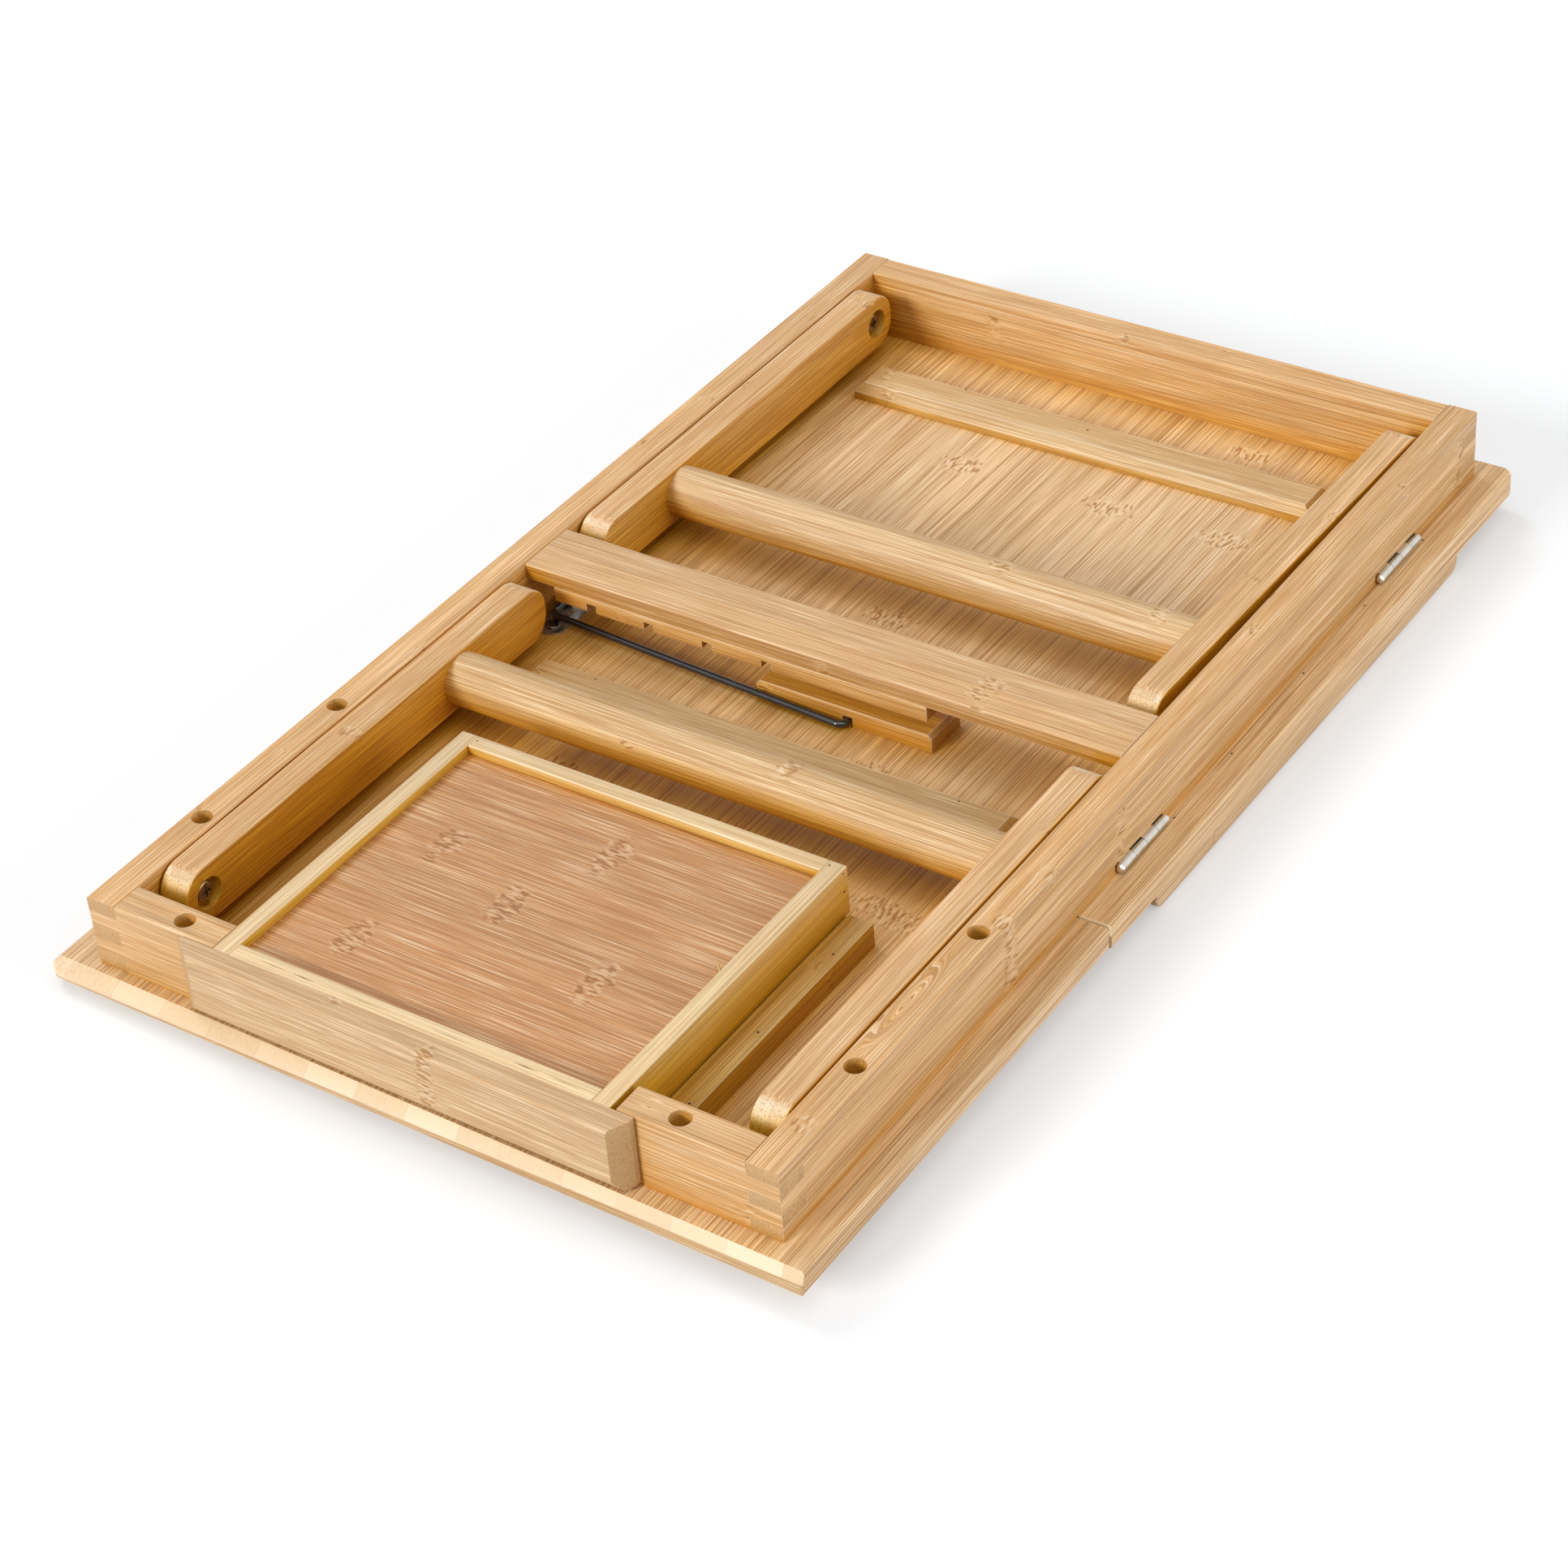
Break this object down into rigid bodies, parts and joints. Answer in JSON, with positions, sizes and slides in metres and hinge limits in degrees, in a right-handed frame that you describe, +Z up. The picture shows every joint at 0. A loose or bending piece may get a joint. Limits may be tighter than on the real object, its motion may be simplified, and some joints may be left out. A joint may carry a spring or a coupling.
{
  "type": "folding lap tray table",
  "caption": "Bamboo lap tray stored upside down, with folding legs, a side drawer and a tilting panel propped by a wire stay on a notched rack.",
  "frame": {"origin": "middle of the footprint, level with the lowest face of the book ledge, with the tray stored upside down as pictured", "axes": "+X from the drawer end to the far end, +Y from the hinged, ledge side to the back, +Z up towards the frame's open underside; turn it 180 degrees about X for use"},
  "size_m": [0.5008, 0.302, 0.046],
  "materials": {
    "bamboo_panel": "satin",
    "bamboo_rail": "satin",
    "bamboo_strip": "satin",
    "bamboo_leg": "satin",
    "bamboo_dowel": "satin",
    "bamboo_drawer": "satin",
    "drawer_bottom": "satin",
    "hinge_steel": "bright",
    "galvanised": "satin",
    "dark_screw": "satin",
    "black_wire": "gloss",
    "spacer": "satin"
  },
  "bodies": {
    "tilting_top": {"tilting_panel": "bamboo_panel", "book_ledge": "bamboo_strip", "near_batten": "bamboo_strip", "far_batten": "bamboo_strip", "stay_keeper": "bamboo_strip", "stay_bracket": "galvanised", "bracket_screw_near": "dark_screw", "bracket_screw_far": "dark_screw", "hinge_near_panel_leaf": "hinge_steel", "hinge_far_panel_leaf": "hinge_steel", "hinge_near_pin": "hinge_steel", "hinge_far_pin": "hinge_steel", "hinge_near_panel_screw_a": "hinge_steel", "hinge_near_panel_screw_b": "hinge_steel", "hinge_far_panel_screw_a": "hinge_steel", "hinge_far_panel_screw_b": "hinge_steel"},
    "frame": {"front_rail": "bamboo_rail", "back_rail": "bamboo_rail", "far_rail": "bamboo_rail", "near_stub_front": "bamboo_rail", "near_stub_back": "bamboo_rail", "centre_rail": "bamboo_rail", "notched_rack": "bamboo_strip", "fixed_panel": "bamboo_panel", "drawer_runner_front": "bamboo_strip", "drawer_runner_back": "bamboo_strip", "panel_screw_front_a": "dark_screw", "panel_screw_front_b": "dark_screw", "panel_screw_back_a": "dark_screw", "panel_screw_back_b": "dark_screw", "panel_screw_stub_front": "dark_screw", "panel_screw_stub_back": "dark_screw", "hinge_near_rail_leaf": "hinge_steel", "hinge_far_rail_leaf": "hinge_steel", "hinge_near_rail_screw_a": "hinge_steel", "hinge_near_rail_screw_b": "hinge_steel", "hinge_far_rail_screw_a": "hinge_steel", "hinge_far_rail_screw_b": "hinge_steel", "leg_spacer_near_front": "spacer", "leg_spacer_near_back": "spacer", "leg_spacer_far_front": "spacer", "leg_spacer_far_back": "spacer", "leg_pivot_near_front": "dark_screw", "leg_pivot_near_back": "dark_screw", "leg_pivot_far_front": "dark_screw", "leg_pivot_far_back": "dark_screw"},
    "near_legs": {"leg_near_front": "bamboo_leg", "leg_near_back": "bamboo_leg", "dowel_near": "bamboo_dowel"},
    "far_legs": {"leg_far_front": "bamboo_leg", "leg_far_back": "bamboo_leg", "dowel_far": "bamboo_dowel"},
    "drawer": {"drawer_face": "bamboo_drawer", "drawer_inner_front": "bamboo_drawer", "drawer_side_front": "bamboo_drawer", "drawer_side_back": "bamboo_drawer", "drawer_back": "bamboo_drawer", "drawer_bottom": "drawer_bottom"},
    "stay": {"stay_wire": "black_wire"}
  },
  "joints": [
    {"name": "top_tilt", "type": "hinge", "parent": "tilting_top", "child": "frame", "pos_m": [0.0761, -0.14, 0.02005], "axis": [1, 0, 0], "range_deg": [0, 21.6]},
    {"name": "near_leg_fold", "type": "hinge", "parent": "frame", "child": "near_legs", "pos_m": [-0.2097, -0.0018, 0.035], "axis": [0, -1, 0], "range_deg": [0, 110]},
    {"name": "far_leg_fold", "type": "hinge", "parent": "frame", "child": "far_legs", "pos_m": [0.2081, -0.0018, 0.035], "axis": [0, 1, 0], "range_deg": [0, 110]},
    {"name": "drawer_slide", "type": "slide", "parent": "frame", "child": "drawer", "axis": [-1, 0, 0], "range_m": [0, 0.1]},
    {"name": "stay_swing", "type": "hinge", "parent": "tilting_top", "child": "stay", "pos_m": [-0.0008, 0.1182, 0.0222], "axis": [-1, 0, 0], "range_deg": [0, 30.5]}
  ],
  "couplings": [
    {"joint": "stay_swing", "follows": "top_tilt", "ratio": 1.385}
  ]
}
